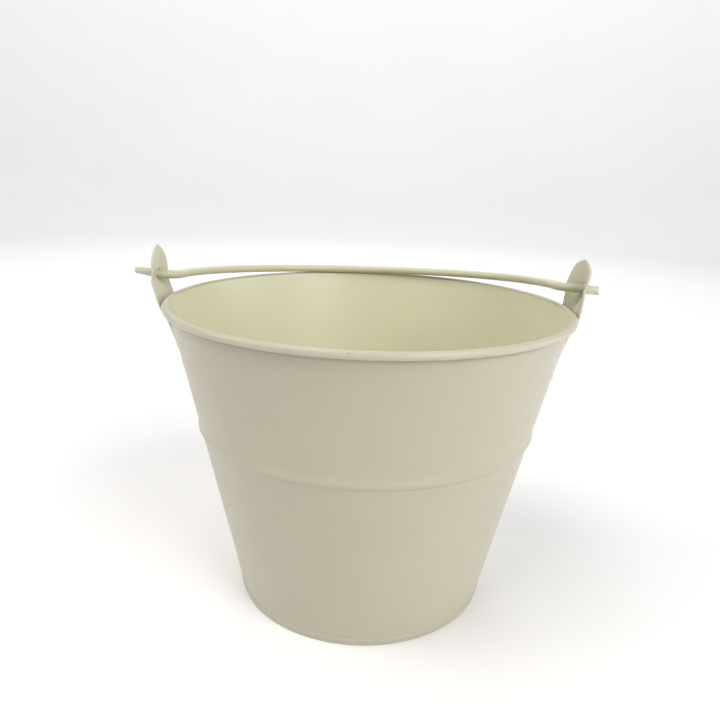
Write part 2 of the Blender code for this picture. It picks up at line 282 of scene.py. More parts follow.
def sheet_outline(path, thickness, cap_steps=6):
    """Close a sheet's centre line into its section, with half-round ends.

    Gives each point with its side: -1 on the left of the path, 1 on the right, 0 at an end.
    """
    left = []
    right = []
    for index, point in enumerate(path):
        along = (path[min(index + 1, len(path) - 1)] - path[max(index - 1, 0)]).normalized()
        across = Vector((-along.y, along.x)) * thickness / 2
        left.append((point + across, -1))
        right.append((point - across, 1))

    def cap(centre, start):
        turns = [math.pi * step / cap_steps for step in range(1, cap_steps)]
        return [(centre + Matrix.Rotation(-turn, 2) @ start, 0) for turn in turns]

    end_cap = cap(path[-1], left[-1][0] - path[-1])
    start_cap = cap(path[0], right[0][0] - path[0])
    return left + end_cap + right[::-1] + start_cap


def add_mesh(name, points, faces, body, material):
    """Make a smooth shaded piece that rides on a body."""
    mesh = bpy.data.meshes.new(name)
    mesh.from_pydata([tuple(point) for point in points], [], faces)
    mesh.validate()
    shape = bmesh.new()
    shape.from_mesh(mesh)
    bmesh.ops.recalc_face_normals(shape, faces=shape.faces)
    shape.to_mesh(mesh)
    shape.free()
    mesh.shade_smooth()
    mesh.materials.append(material)
    piece = bpy.data.objects.new(name, mesh)
    bpy.context.scene.collection.objects.link(piece)
    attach(piece, body)
    return piece


def ring_faces(rings, size, closed):
    """Join rings of points, size points each, with quads."""
    faces = []
    for ring in range(rings if closed else rings - 1):
        here = ring * size
        there = (ring + 1) % rings * size
        for index in range(size):
            after = (index + 1) % size
            faces.append((here + index, here + after, there + after, there + index))
    return faces


def turned(outline, angles, place=None):
    """Turn a closed section about Z, through a list of angles that goes all the way round."""
    points = []
    for angle in angles:
        for point, side in outline:
            radius, height = place(angle, point, side) if place else point
            points.append((radius * math.cos(angle), radius * math.sin(angle), height))
    return points, ring_faces(len(angles), len(outline), closed=True)


def turned_solid(section, steps, middles, place=None):
    """Turn an open section about Z and close both its ends onto the axis at two heights."""
    points = []
    for step in range(steps):
        angle = math.tau * step / steps
        for row in section:
            radius, height = place(angle, row) if place else row
            points.append((radius * math.cos(angle), radius * math.sin(angle), height))
    size = len(section)
    faces = []
    for step in range(steps):
        here = step * size
        there = (step + 1) % steps * size
        for row in range(size - 1):
            faces.append((here + row, here + row + 1, there + row + 1, there + row))
        faces.append((here, there, steps * size))
        faces.append((here + size - 1, there + size - 1, steps * size + 1))
    points += [(0.0, 0.0, height) for height in middles]
    return points, faces


# ------------------------------------------------------------------- materials


class Nodes:
    """A short way to write a material's node tree."""

    def __init__(self, name):
        self.material = bpy.data.materials.new(name)
        self.material.use_nodes = True
        self.tree = self.material.node_tree
        self.shader = self.tree.nodes["Principled BSDF"]
        self.place = self.add("ShaderNodeTexCoord").outputs["Object"]

    def add(self, kind, inputs=(), **settings):
        """Add a node; a socket among the inputs is linked and a value is set."""
        node = self.tree.nodes.new(kind)
        for key, value in settings.items():
            setattr(node, key, value)
        for key, value in dict(inputs).items():
            if isinstance(value, bpy.types.NodeSocket):
                self.tree.links.new(value, node.inputs[key])
            else:
                node.inputs[key].default_value = value
        return node

    def noise(self, scale, detail=2.0, roughness=0.5, stretch=None):
        """Noise from 0 to 1, at a scale in turns per metre."""
        place = self.place
        if stretch:
            mapping = self.add("ShaderNodeMapping", {"Vector": place, "Scale": stretch})
            place = mapping.outputs[0]
        inputs = {"Vector": place, "Scale": scale, "Detail": detail, "Roughness": roughness}
        return self.add("ShaderNodeTexNoise", inputs).outputs["Fac"]

    def ramp(self, value, start, end, low=0.0, high=1.0):
        """Map a value from start..end to low..high, eased at both ends."""
        inputs = {0: value, 1: start, 2: end, 3: low, 4: high}
        return self.add("ShaderNodeMapRange", inputs, interpolation_type="SMOOTHSTEP").outputs[0]

    def math(self, operation, one, two=0.0):
        """One sum on two values."""
        return self.add("ShaderNodeMath", {0: one, 1: two}, operation=operation).outputs[0]

    def mix(self, share, one, two):
        """Mix two colours."""
        factor, first, second, result = 0, 6, 7, 2
        inputs = {factor: share, first: one, second: two}
        return self.add("ShaderNodeMix", inputs, data_type="RGBA").outputs[result]

    def spot(self, centre, radius, ragged=0.5):
        """1 inside a ragged ball about a point and 0 outside it."""
        away = self.add("ShaderNodeVectorMath", {0: self.place, 1: centre}, operation="DISTANCE")
        edge = self.math("MULTIPLY", self.noise(0.9 / radius, 3.0), ragged * radius * 2)
        reach = self.math("ADD", away.outputs["Value"], edge)
        return self.ramp(reach, radius * (1 + ragged), radius * (0.8 + ragged))

    def link(self, output, socket):
        """Drive one of the shader's sockets."""
        self.tree.links.new(output, self.shader.inputs[socket])


def tinted(colour, factor):
    """A colour made lighter or darker."""
    return tuple(channel * factor for channel in colour[:3]) + (1.0,)


def mottled(nodes, colour):
    """The paint's colour, clouded, warmed in patches and finely grained."""
    cloud = nodes.ramp(nodes.noise(22.0, 3.0), 0.30, 0.70)
    shade = nodes.mix(cloud, tinted(colour, 0.975), tinted(colour, 1.015))
    warm = (colour[0], colour[1] * 0.985, colour[2] * 0.93, 1.0)
    shade = nodes.mix(nodes.ramp(nodes.noise(60.0, 2.0), 0.45, 0.75, 0.0, 0.6), shade, warm)
    grain = nodes.ramp(nodes.noise(900.0, 2.0), 0.25, 0.75)
    return nodes.mix(nodes.math("MULTIPLY", grain, 0.5), shade, tinted(colour, 0.985))


def with_painted_shade(nodes, shade, colour):
    """Paint shade into the colour: darken it in bands under the curl, under the bead and in the
    hem's step.
    """
    height = nodes.add("ShaderNodeSeparateXYZ", {"Vector": nodes.place}).outputs["Z"]
    for top, reach, strength in PAINTED_SHADE_BANDS:
        rising = nodes.ramp(height, top - reach, top)
        falling = nodes.ramp(height, top + reach / 4, top)
        shade_share = nodes.math("MULTIPLY", nodes.math("MULTIPLY", rising, falling), strength)
        shade = nodes.mix(shade_share, shade, tinted(colour, PAINTED_SHADE_FACTOR))
    return shade


def chipped(nodes, chips):
    """1 where a chip bares the steel and 0 elsewhere, from each chip's place and radius."""
    wear = None
    for centre, radius in chips:
        spot = nodes.spot(centre, radius)
        wear = spot if wear is None else nodes.math("MAXIMUM", wear, spot)
    return wear


def bumped(nodes, height, strength, depth, under=None):
    """Raise the surface by a height map, over another bump."""
    inputs = {"Height": height, "Strength": strength, "Distance": depth}
    if under is not None:
        inputs["Normal"] = under
    return nodes.add("ShaderNodeBump", inputs).outputs[0]


def painted(name, colour, chips=(), peel=1.0, shaded_bands=False, coat=0.20):
    """Satin cream paint on steel: mottled, faintly orange-peeled, chipped where it is knocked, and
    with painted shade bands under the curl, the bead and the hem's step when asked.
    """
    nodes = Nodes(name)
    shade = mottled(nodes, colour)
    # Painted shade: darker bands in the colour under the curl, the bead and the hem's step
    if shaded_bands:
        shade = with_painted_shade(nodes, shade, colour)
    rough = nodes.ramp(nodes.noise(140.0, 3.0), 0.30, 0.70, 0.36, 0.46)
    normal = bumped(nodes, nodes.noise(1300.0, 2.0), 0.10 * peel, 0.05 * MM)
    normal = bumped(nodes, nodes.noise(420.0, 2.0, 0.45), 0.25 * peel, 0.06 * MM, normal)
    wear = chipped(nodes, chips)
    if wear is not None:
        shade = nodes.mix(nodes.math("MULTIPLY", wear, 0.7), shade, CHIP_COLOUR)
        rough = nodes.math("MAXIMUM", rough, nodes.math("MULTIPLY", wear, 0.62))
        normal = bumped(nodes, nodes.math("SUBTRACT", 1.0, wear), 0.6, 0.12 * MM, normal)
    nodes.link(shade, "Base Color")
    nodes.link(rough, "Roughness")
    nodes.link(normal, "Normal")
    nodes.shader.inputs["IOR"].default_value = 1.5
    nodes.shader.inputs["Coat Weight"].default_value = coat
    nodes.shader.inputs["Coat Roughness"].default_value = 0.22
    return nodes.material


def drawn_steel():
    """Bare drawn wire, with fine scratches along its run and a little dull oxide."""
    nodes = Nodes("drawn_steel")
    dull = nodes.ramp(nodes.noise(160.0, 4.0), 0.35, 0.70)
    scratch = nodes.noise(2600.0, 2.0, 0.6, stretch=(1.0, 1.0, 0.1))
    shade = nodes.mix(dull, (0.50, 0.51, 0.52, 1.0), (0.34, 0.33, 0.31, 1.0))
    nodes.link(shade, "Base Color")
    nodes.link(nodes.ramp(scratch, 0.3, 0.7, 0.26, 0.44), "Roughness")
    nodes.link(bumped(nodes, scratch, 0.2, 0.02 * MM), "Normal")
    nodes.shader.inputs["Metallic"].default_value = 1.0
    return nodes.material


# --------------------------------------------------------------- pail's section


def cone_line():
    """Find where the wall's straight cone starts and how far it leans."""
    start = Vector((FOOT_RADIUS - SHEET / 2 + HEM_BAND_FLARE - HEM_STEP, HEM_STEP_TOP))
    to_curl = Vector((RIM_RADIUS, RIM_HEIGHT)) - start
    lean = math.atan2(to_curl.x, to_curl.y) - math.asin(CURL_RADIUS / to_curl.length)
    return start, lean


CONE_START, LEAN = cone_line()


def wall_outside(height):
    """Radius of the wall's outer face at a height on the plain cone."""
    return CONE_START.x + (height - CONE_START.y) * math.tan(LEAN) + SHEET / 2 / math.cos(LEAN)


def wall_path():
    """Follow the wall's sheet from the hem's inner fold up to the end of the curl."""
    band = FOOT_RADIUS - SHEET / 2
    hem = [
        (band - HEM_WIDTH, HEM_RETURN_TOP),
        (band - HEM_WIDTH, SHEET / 2),
        (band, SHEET / 2),
        (band + HEM_BAND_FLARE, HEM_BAND_TOP),
        CONE_START,
        CONE_START + Vector((math.tan(LEAN), 1.0)) * 3 * MM,
    ]
    path = rounded(hem, (HEM_CORNER, HEM_CORNER, 0.5 * MM, 0.6 * MM), 8)
    bead_steps = 24
    outward = Vector((math.cos(LEAN), -math.sin(LEAN)))
    for step in range(bead_steps + 1):
        share = 2 * step / bead_steps - 1
        height = BEAD_HEIGHT + share * BEAD_HALF_WIDTH
        on_cone = CONE_START + Vector((math.tan(LEAN), 1.0)) * (height - CONE_START.y)
        path.append(on_cone + outward * BEAD_RISE * (1 + math.cos(share * math.pi)) / 2)
    curl_steps = 36
    for step in range(curl_steps + 1):
        turn = math.pi - LEAN - CURL_SWEEP * step / curl_steps
        reach = Vector((math.cos(turn), math.sin(turn))) * CURL_RADIUS
        path.append(Vector((RIM_RADIUS, RIM_HEIGHT)) + reach)
    return divided(path, 3.0 * MM)


def ripple(angle, height):
    """How far the rolled sheet lies inside its true cone, a few hundredths of a millimetre."""
    clear_of_ends = smooth_step(height, 4 * MM, 20 * MM)
    clear_of_ends *= smooth_step(RIM_HEIGHT - height, 0, 18 * MM)
    around = math.cos(angle) * RIPPLE_AROUND, math.sin(angle) * RIPPLE_AROUND
    spot = Vector((*around, height / RIPPLE_LENGTH))
    oval = OVAL_DEPTH * (1 - math.cos(2 * (angle - OVAL_TURN))) / 2
    wave = RIPPLE_DEPTH * (noise.noise(spot) - RIPPLE_INWARD) * clear_of_ends
    return wave - oval * height / RIM_HEIGHT


def seam_distance(angle, radius):
    """Distance around the wall from the middle of the side seam."""
    return ((angle - SEAM_ANGLE + math.pi) % math.tau - math.pi) * radius


def wall_place(angle, point, side):
    """Set a point of the wall's section out of true, and lap the sheet at the seam."""
    radius, height = point
    radius += ripple(angle, height)
    on_cone = smooth_step(height, 4 * MM, 6 * MM) * smooth_step(RIM_HEIGHT - height, 1 * MM, 4 * MM)
    around = seam_distance(angle, radius)
    half = SEAM_WIDTH / 2
    if side < 0:
        lapped = smooth_step(around, -half, -half + SEAM_STEP)
        lapped *= 1 - smooth_step(around, half - SEAM_STEP, half)
        radius -= SEAM_RISE * lapped * on_cone
    if side > 0:
        radius -= SEAM_GROOVE * math.exp(-(((around - half) / SEAM_STEP) ** 2)) * on_cone
    return radius, height


def wall_angles(count):
    """Angles all round the pail, closer together across the seam."""
    half_zone = (SEAM_WIDTH / 2 + 4 * SEAM_STEP) / RIM_RADIUS
    fine = np.linspace(SEAM_ANGLE - half_zone, SEAM_ANGLE + half_zone, 50)
    coarse = np.linspace(SEAM_ANGLE + half_zone, SEAM_ANGLE - half_zone + math.tau, count)
    return list(fine) + list(coarse[1:-1])


def make_wall(material, inside, rim):
    """The pail's body: one sheet, hemmed, beaded, curled and lapped at its seam."""
    outline = sheet_outline(wall_path(), SHEET)
    points, faces = turned(outline, wall_angles(300), wall_place)
    wall = add_mesh("pail_wall", points, faces, "pail", material)
    wall.data.materials.append(inside)
    wall.data.materials.append(rim)
    size = len(outline)
    half_curl = CURL_RADIUS / 2
    # Faces inside the pail take the lighter inside copy of the cream, faces on the curl the lighter
    # rim copy: painted light
    inner = [
        side < 0 and HEM_RETURN_TOP < point.y < RIM_HEIGHT + half_curl
        and point.x < RIM_RADIUS - half_curl
        for point, side in outline
    ]
    curl = Vector((RIM_RADIUS, RIM_HEIGHT))
    curled = [(point - curl).length < CURL_RADIUS + SHEET for point, side in outline]
    for polygon in wall.data.polygons:
        if all(inner[vertex % size] for vertex in polygon.vertices):
            polygon.material_index = 1
        elif all(curled[vertex % size] for vertex in polygon.vertices):
            polygon.material_index = 2
    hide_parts("body_wall")
    return wall


def make_rim_wire(material):
    """The steel wire inside the curl."""
    sides = 20
    centre = Vector((RIM_RADIUS, RIM_HEIGHT))
    outline = []
    for side in range(sides):
        turn = math.tau * side / sides
        outline.append((centre + Vector((math.cos(turn), math.sin(turn))) * RIM_WIRE_RADIUS, 0))

    def place(angle, point, side):
        return point.x + ripple(angle, RIM_HEIGHT), point.y

    points, faces = turned(outline, wall_angles(240), place)
    wire = add_mesh("rim_core_wire", points, faces, "pail", material)
    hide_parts("rim_wire")
    return wire


def make_pan(material):
    """The bottom: a shallow pan, its flange held in the hem and its floor a little uneven."""
    flange = PAN_HIGH.x - SHEET / 2
    corners = [(0.0, PAN_FLOOR), (flange, PAN_FLOOR), (flange, PAN_LOW.z + SHEET / 2)]
    path = divided(rounded(corners, (PAN_CORNER,), 8), 2.0 * MM)[1:]
    outline = sheet_outline(path, SHEET)

    def place(angle, point):
        radius, height = point
        spot = Vector((radius * math.cos(angle), radius * math.sin(angle), 0.0)) / PAN_WARP_LENGTH
        loose = smooth_step(flange - radius, 1 * MM, 12 * MM) * smooth_step(radius, 0, 6 * MM)
        return radius, height + PAN_WARP * noise.noise(spot) * loose

    kept = [(point, side) for point, side in outline if side != 0 or point.x > flange / 2]
    top = [point for point, side in kept if side < 0]
    rest = [point for point, side in kept if side >= 0]
    middles = (PAN_FLOOR + SHEET / 2, PAN_FLOOR - SHEET / 2)
    points, faces = turned_solid(top + rest, 240, middles, place)
    pan = add_mesh("bottom_pan", points, faces, "pail", material)
    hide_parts("base_disc")
    return pan


# ------------------------------------------------------------------------ ears


def ear_edges(height, shape):
    """Where the ear's two edges are: round corners at the foot, a pointed arch at the head."""
    above_foot = height - EAR_FOOT
    if above_foot < EAR_FOOT_CORNER:
        inset = min(EAR_FOOT_CORNER - above_foot, EAR_FOOT_CORNER)
        bow = math.sqrt(EAR_FOOT_CORNER**2 - inset**2)
        half = EAR_HALF_WIDTH - EAR_FOOT_CORNER + bow
        return -half, half
    share = max(0.0, (height - EAR_HEAD_START) / (shape["tip"][1] - EAR_HEAD_START))
    low = -EAR_HALF_WIDTH + (EAR_HALF_WIDTH + shape["lean"]) * share ** shape["arch"][0]
    high = EAR_HALF_WIDTH - (EAR_HALF_WIDTH - shape["lean"]) * share ** shape["arch"][1]
    return low, high


def ear_bow(across, height, out, shape):
    """How far a point of the ear lies inside the line of its middle."""
    wall = wall_outside(height) + GAP
    wrap = wall - math.sqrt(wall**2 - across**2)
    crease_heights = (EAR_LEAVES_WALL, RIM_HEIGHT, PIVOT.z, shape["tip"][1])
    depth = np.interp(height, crease_heights, (0.0,) + shape["crease"])
    fold = depth * (math.hypot(across, EAR_CREASE_RADIUS) - EAR_CREASE_RADIUS) / EAR_HALF_WIDTH
    twist = shape["twist"] * across
    twist *= np.interp(height, (EAR_TWIST_STARTS, EAR_TWIST_ENDS), (0.0, 1.0))
    wrapped = np.interp(height, (EAR_LEAVES_WALL, EAR_WRAP_ENDS), (1.0, 0.0))
    free = wrap * wrapped + fold + twist
    on_wall = wrap + out - wall
    beyond = max(0.0, abs(across) - EAR_FLAT_HALF) / (EAR_HALF_WIDTH - EAR_FLAT_HALF)
    turned_in = np.interp(height, (EAR_EDGE_LEAVES_WALL, EAR_EDGE_FREE), (1.0, 0.0)) * beyond**2
    return free + (on_wall - free) * turned_in


class EarShape:
    """Where each point of an ear's flat pattern lies once the strip is bent and creased."""

    def __init__(self, shape):
        self.shape = shape
        corners = [
            (wall_outside(EAR_FOOT) + GAP, EAR_FOOT),
            (wall_outside(EAR_LEAVES_WALL) + GAP, EAR_LEAVES_WALL),
            shape["upright"],
            shape["tip"],
        ]
        path = rounded(corners, EAR_BENDS, 32)
        steps = [0.0] + [(after - before).length for before, after in zip(path, path[1:])]
        self.lengths = np.cumsum(steps)
        self.out = [point.x for point in path]
        self.up = [point.y for point in path]
        self.length = self.lengths[-1]

    def height(self, along):
        """Height of the crease at a distance along the strip."""
        return float(np.interp(along, self.lengths, self.up))

    def along(self, height):
        """Distance along the strip at a height of the crease."""
        return float(np.interp(height, self.up, self.lengths))

    def inner(self, along, across):
        """A point on the inner face."""
        out = np.interp(along, self.lengths, self.out)
        up = self.height(along)
        return Vector((out - ear_bow(across, up, out, self.shape), across, up))

    def at(self, along, across, through):
        """A point of the strip, through its thickness from the inner face."""
        step = 0.15 * MM
        low = min(max(along, step), self.length - step)
        rise = self.inner(low + step, across) - self.inner(low - step, across)
        side = self.inner(low, across + step) - self.inner(low, across - step)
        point = self.inner(low, across) + rise * (along - low) / (2 * step)
        return point + side.cross(rise).normalized() * through


def ear_pattern(ear):
    """Outline of an ear's flat pattern, as (along, across), going round it once."""
    foot = np.linspace(0, 1, 14) ** 2 * EAR_FOOT_CORNER
    sides = np.linspace(EAR_FOOT_CORNER, ear.along(EAR_HEAD_START), 40)[1:]
    head = ear.along(EAR_HEAD_START)
    arch = head + (ear.length - head) * (1 - (1 - np.linspace(0, 1, 30)) ** 1.4)[1:]
    stations = list(foot) + list(sides) + list(arch)
    edges = [ear_edges(ear.height(along), ear.shape) for along in stations]
    right = [Vector((along, high)) for along, (low, high) in zip(stations, edges)]
    left = [Vector((along, low)) for along, (low, high) in zip(stations, edges)][-2::-1]
    start = right[0].y
    bottom = [Vector((0.0, across)) for across in np.linspace(-start, start, 14)[1:-1]]
    return right + left + bottom


def inset_loop(loop, distance):
    """Move every point of a closed outline inward by a distance."""
    area = sum(a.x * b.y - b.x * a.y for a, b in zip(loop, loop[1:] + loop[:1]))
    turn = 1.0 if area > 0 else -1.0
    moved = []
    for index, point in enumerate(loop):
        before = (point - loop[index - 1]).normalized()
        after = (loop[(index + 1) % len(loop)] - point).normalized()
        inward = Vector((-(before + after).y, (before + after).x)).normalized() * turn
        stretch = max(0.5, inward.dot(Vector((-before.y, before.x)) * turn))
        moved.append(point + inward * distance / stretch)
    return moved


def circle(centre, radius, steps):
    """Points round a circle, clockwise."""
    turns = [-math.tau * step / steps for step in range(steps)]
    return [centre + Vector((math.cos(turn), math.sin(turn))) * radius for turn in turns]


def edge_round(thickness, radius, steps=5):
    """Inset and depth of each ring on a sheet's rounded edge, from one face to the other."""
    rings = []
    for step in range(steps + 1):
        turn = math.pi / 2 * step / steps
        rings.append((radius * (1 - math.sin(turn)), radius * (1 - math.cos(turn))))
    return rings + [(inset, thickness - through) for inset, through in rings[::-1]]


def hole_middle(hole):
    """Centre of a round hole."""
    return sum(hole, Vector((0.0, 0.0))) / len(hole)


def hole_reach(hole):
    """Radius of a round hole."""
    return (hole[0] - hole_middle(hole)).length


def lies_inside(loop, point):
    """Whether a point lies inside a closed outline."""
    odd = False
    for start, end in zip(loop, loop[1:] + loop[:1]):
        if (start.y > point.y) != (end.y > point.y):
            slope = (end.x - start.x) / (end.y - start.y)
            if point.x < slope * (point.y - start.y) + start.x:
                odd = not odd
    return odd


def fill_pattern(outer, hole, spacing):
    """Triangles between an outer loop and its hole, over evenly spaced points."""
    points = outer + hole
    edges = []
    for start, size in ((0, len(outer)), (len(outer), len(hole))):
        edges += [(start + index, start + (index + 1) % size) for index in range(size)]
    border = np.array([tuple(point) for point in points])
    low = border.min(0)
    high = border.max(0)
    middle = hole_middle(hole)
    reach = hole_reach(hole)
    for row, along in enumerate(np.arange(low[0] + spacing, high[0], spacing)):
        shift = spacing / 2 * (row % 2)
        for across in np.arange(low[1] + shift, high[1], spacing):
            point = Vector((along, across))
            near = np.hypot(border[:, 0] - along, border[:, 1] - across).min()
            if near < spacing * 0.55 or not lies_inside(outer, point):
                continue
            if (point - middle).length >= reach:
                points.append(point)
    verts, edges, faces, origin = delaunay_2d_cdt(points, edges, [], 1, 1e-9)[:4]
    kept = []
    for face in faces:
        centre = sum((verts[index] for index in face), Vector((0.0, 0.0))) / len(face)
        if (centre - middle).length >= reach * 0.98:
            kept.append([origin[index][0] for index in face])
    return points, kept


def make_ear(name, material):
    """An ear: a strip with a rounded edge and an eye, bent over the rim and creased."""
    ear = EarShape(EARS[name])
    side = EARS[name]["side"]
    sag = EYE_RADIUS - WIRE_RADIUS - GAP
    eye = Vector((ear.along(PIVOT.z + sag), 0.0))
    outline = ear_pattern(ear)
    eye_steps = 56
    rings = edge_round(EAR_SHEET, EAR_EDGE_RADIUS)
    inner_outline = inset_loop(outline, EAR_EDGE_RADIUS)
    inner_eye = circle(eye, EYE_RADIUS + EAR_EDGE_RADIUS, eye_steps)
    flat, triangles = fill_pattern(inner_outline, inner_eye, 0.7 * MM)

    points = [ear.at(point.x, point.y, 0.0) for point in flat]
    faces = [tuple(face) for face in triangles]
    back = len(points)
    points += [ear.at(point.x, point.y, EAR_SHEET) for point in flat]
    faces += [tuple(back + index for index in reversed(face)) for face in triangles]

    def loop_at(inset):
        return inset_loop(outline, inset) + circle(eye, EYE_RADIUS + inset, eye_steps)

    starts = [0]
    for inset, through in rings[1:-1]:
        starts.append(len(points))
        points += [ear.at(point.x, point.y, through) for point in loop_at(inset)]
    starts.append(back)
    loops = ((0, len(outline)), (len(outline), eye_steps))
    for here, there in zip(starts, starts[1:]):
        for first, size in loops:
            for index in range(size):
                one = first + index
                two = first + (index + 1) % size
                faces.append((here + one, here + two, there + two, there + one))
    turn = Matrix.Rotation(math.pi if side < 0 else 0.0, 3, "Z")
    piece = add_mesh(name + "_sheet", [turn @ point for point in points], faces, "pail", material)
    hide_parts(name)
    return piece


def make_rivet(name, side, across, material):
    """A painted rivet: a domed head outside the ear and a peened tail inside the wall."""
    plane = EAR_SHEET + GAP
    tail = -SHEET - 0.2 * MM
    steps = 14
    turns = [math.pi / 2 * step / steps for step in range(1, steps + 1)]
    dome = RIVET_HEAD_RISE + GAP - RIVET_EDGE_ROUND
    section = []
    for turn in turns:
        reach = RIVET_HEAD_RADIUS * math.sin(turn) ** 0.9
        section.append((reach, plane + RIVET_EDGE_ROUND + dome * math.cos(turn)))
    section += [
        (RIVET_HEAD_RADIUS, plane + RIVET_BRIM),
        (RIVET_HEAD_RADIUS - RIVET_UNDERCUT, plane),
        (RIVET_SHANK_RADIUS, plane),
        (RIVET_SHANK_RADIUS, -SHEET),
        (RIVET_TAIL_RADIUS - RIVET_BRIM, tail + RIVET_BRIM),
        (RIVET_TAIL_RADIUS, tail),
    ]
    for turn in turns[:-1]:
        reach = RIVET_TAIL_RADIUS * math.cos(turn) ** 0.6
        section.append((reach, tail - RIVET_TAIL_RISE * math.sin(turn)))
    middles = (plane + RIVET_HEAD_RISE + GAP, tail - RIVET_TAIL_RISE)
    points, faces = turned_solid(section, 40, middles)
    square = Matrix.Rotation(side * (math.pi / 2 + LEAN), 4, "Y")
    place = Matrix.Translation((side * wall_outside(RIVET_HEIGHT), across, RIVET_HEIGHT)) @ square
    points = [place @ Vector(point) for point in points]
    piece = add_mesh("painted_" + name, points, faces, "pail", material)
    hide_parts(name)
    return piece


# ------------------------------------------------------------------------ bail


def bail_rest_angle():
    """Angle below level at which the wire's middle comes to lie on the rear rim."""
    touch = CURL_RADIUS + SHEET / 2 + WIRE_RADIUS + GAP
    rise = math.sqrt(touch**2 - (RIM_RADIUS - BAIL_REACH) ** 2)
    return math.asin((PIVOT.z - RIM_HEIGHT - rise) / BAIL_REACH)


def bail_rack(x):
    """How far the bent wire lies off its own plane.

    It lies low at the left elbow, high at the right one, and rises outside the left ear.
    """
    ear = BAIL_EAR_SPAN - BAIL_SLIP if x > 0 else BAIL_EAR_SPAN + BAIL_SLIP
    beyond = max(0.0, abs(x) - BAIL_HALF_SPAN) / (ear - BAIL_HALF_SPAN)
    share = min(abs(x) / BAIL_HALF_SPAN, 1.0) - beyond
    if x > 0:
        return share * BAIL_RACK[1]
    return BAIL_LEFT_END_RISE * max(0.0, beyond - 1) - share * BAIL_RACK[-1]


def bail_half():
    """Follow half the bail in its own plane, from inside the ear's end to the middle."""
    end = (BAIL_HIGH.x - BAIL_LOW.x) / 2
    corners = [(end, 0.0), (BAIL_HALF_SPAN, 0.0), (BAIL_HALF_SPAN, BAIL_ELBOW)]
    path = divided(rounded(corners, (BAIL_ELBOW,), 16)[:-1], 1.2 * MM)
    depth = BAIL_REACH - BAIL_ELBOW
    steps = 70
    for step in range(1, steps + 1):
        turn = math.pi / 2 * step / steps
        path.append(Vector((BAIL_HALF_SPAN * math.cos(turn), BAIL_ELBOW + depth * math.sin(turn))))
    return path


def tube_rings(path, radii, sides):
    """Rings of points about a path, each turned as little as possible from the last."""
    tangents = []
    for index, point in enumerate(path):
        before = path[max(index - 1, 0)]
        after = path[min(index + 1, len(path) - 1)]
        tangents.append((after - before).normalized())
    up = Vector((0.0, 0.0, 1.0))
    rings = []
    for point, along, radius in zip(path, tangents, radii):
        across = along.cross(up).normalized()
        up = across.cross(along).normalized()
        ring = []
        for side in range(sides):
            turn = math.tau * side / sides
            ring.append(point + (across * math.cos(turn) + up * math.sin(turn)) * radius)
        rings.append(ring)
    return rings


def cut_end(ring, outward, depth, slant):
    """Rings that round off a cut wire's end. The cut slants by a share of its height."""
    centre = sum(ring, Vector()) / len(ring)
    rings = []
    for reach, ahead in CUT_RINGS:
        moved = []
        for point in ring:
            spread = (point - centre) * reach
            lean = -spread.z * slant
            moved.append(centre + spread + outward * (depth * ahead + lean))
        rings.append(moved)
    return rings


def make_bail(material):
    """The bail: one wire from its tapered left end to its cropped right end."""
    half = bail_half()
    flat = [Vector((-point.x, point.y)) for point in half] + half[-2::-1]
    tilt = Matrix.Rotation(-bail_rest_angle(), 3, "X")
    path = []
    radii = []
    first = flat[0].x
    last = flat[-1].x
    left_stop = first + LEFT_CUT_ROOM
    right_stop = last - RIGHT_CUT_DEPTH - RIGHT_CUT_SLANT * WIRE_RADIUS
    for point in flat:
        x = min(max(point.x, left_stop), right_stop)
        wander = noise.noise(Vector((x / (24 * MM), 0.0, 3.0)))
        free = smooth_step(BAIL_HALF_SPAN * 0.93 - abs(x), 0, 10 * MM)
        lift = bail_rack(x) + BAIL_WANDER * wander * free
        bow = BAIL_WANDER * noise.noise(Vector((x / (30 * MM), 7.0, 3.0))) * free
        spot = tilt @ Vector((x + BAIL_SLIP, point.y + bow, lift)) + PIVOT
        if path and (spot - path[-1]).length < 0.05 * MM:
            continue
        taper = 1 - BAIL_TAPER * (1 - smooth_step(x - first, 0.0, BAIL_TAPER_LENGTH))
        path.append(spot)
        radii.append(WIRE_RADIUS * taper * (1 - 0.004 * (1 + wander)))
    sides = 36
    rings = tube_rings(path, radii, sides)
    left = cut_end(rings[0], Vector((-1.0, 0.0, 0.0)), LEFT_CUT_DEPTH, 0.0)[::-1]
    right = cut_end(rings[-1], Vector((1.0, 0.0, 0.0)), RIGHT_CUT_DEPTH, RIGHT_CUT_SLANT)
    rings = left + rings + right
    points = [point for ring in rings for point in ring]
    faces = ring_faces(len(rings), sides, closed=False)
    faces.append(tuple(range(sides)))
    faces.append(tuple(range(len(points) - sides, len(points))))
    piece = add_mesh("bail_wire", points, faces, "bail", material)
    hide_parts("bail")
    return piece


# ----------------------------------------------------------------------- studio


def make_studio():
    """A pale floor that turns up into a far wall all round."""
    corners = [(0.0, 0.0), (FLOOR_REACH, 0.0), STUDIO_WALL_TOP]
    path = rounded(corners, (FLOOR_BEND,), 24)[1:]
    steps = 96
    points = [(0.0, 0.0, -FLOOR_DROP)]
    for step in range(steps):
        turn = math.tau * step / steps
        for radius, height in path:
            points.append((radius * math.cos(turn), radius * math.sin(turn), height - FLOOR_DROP))
    size = len(path)
    faces = []
    for step in range(steps):
        here = 1 + step * size
        there = 1 + (step + 1) % steps * size
        faces.append((0, here, there))
        for row in range(size - 1):
            faces.append((here + row, here + row + 1, there + row + 1, there + row))
    mesh = bpy.data.meshes.new("studio_floor")
    mesh.from_pydata(points, [], faces)
    mesh.shade_smooth()
    nodes = Nodes("pale_floor")
    tone = nodes.ramp(nodes.noise(3.0, 2.0), 0.3, 0.7)
    nodes.link(nodes.mix(tone, (0.90, 0.895, 0.90, 1.0), (0.91, 0.905, 0.91, 1.0)), "Base Color")
    nodes.shader.inputs["Roughness"].default_value = 0.9
    nodes.shader.inputs["Specular IOR Level"].default_value = 0.1
    mesh.materials.append(nodes.material)
    floor = bpy.data.objects.new("studio_floor", mesh)
    bpy.context.scene.collection.objects.link(floor)


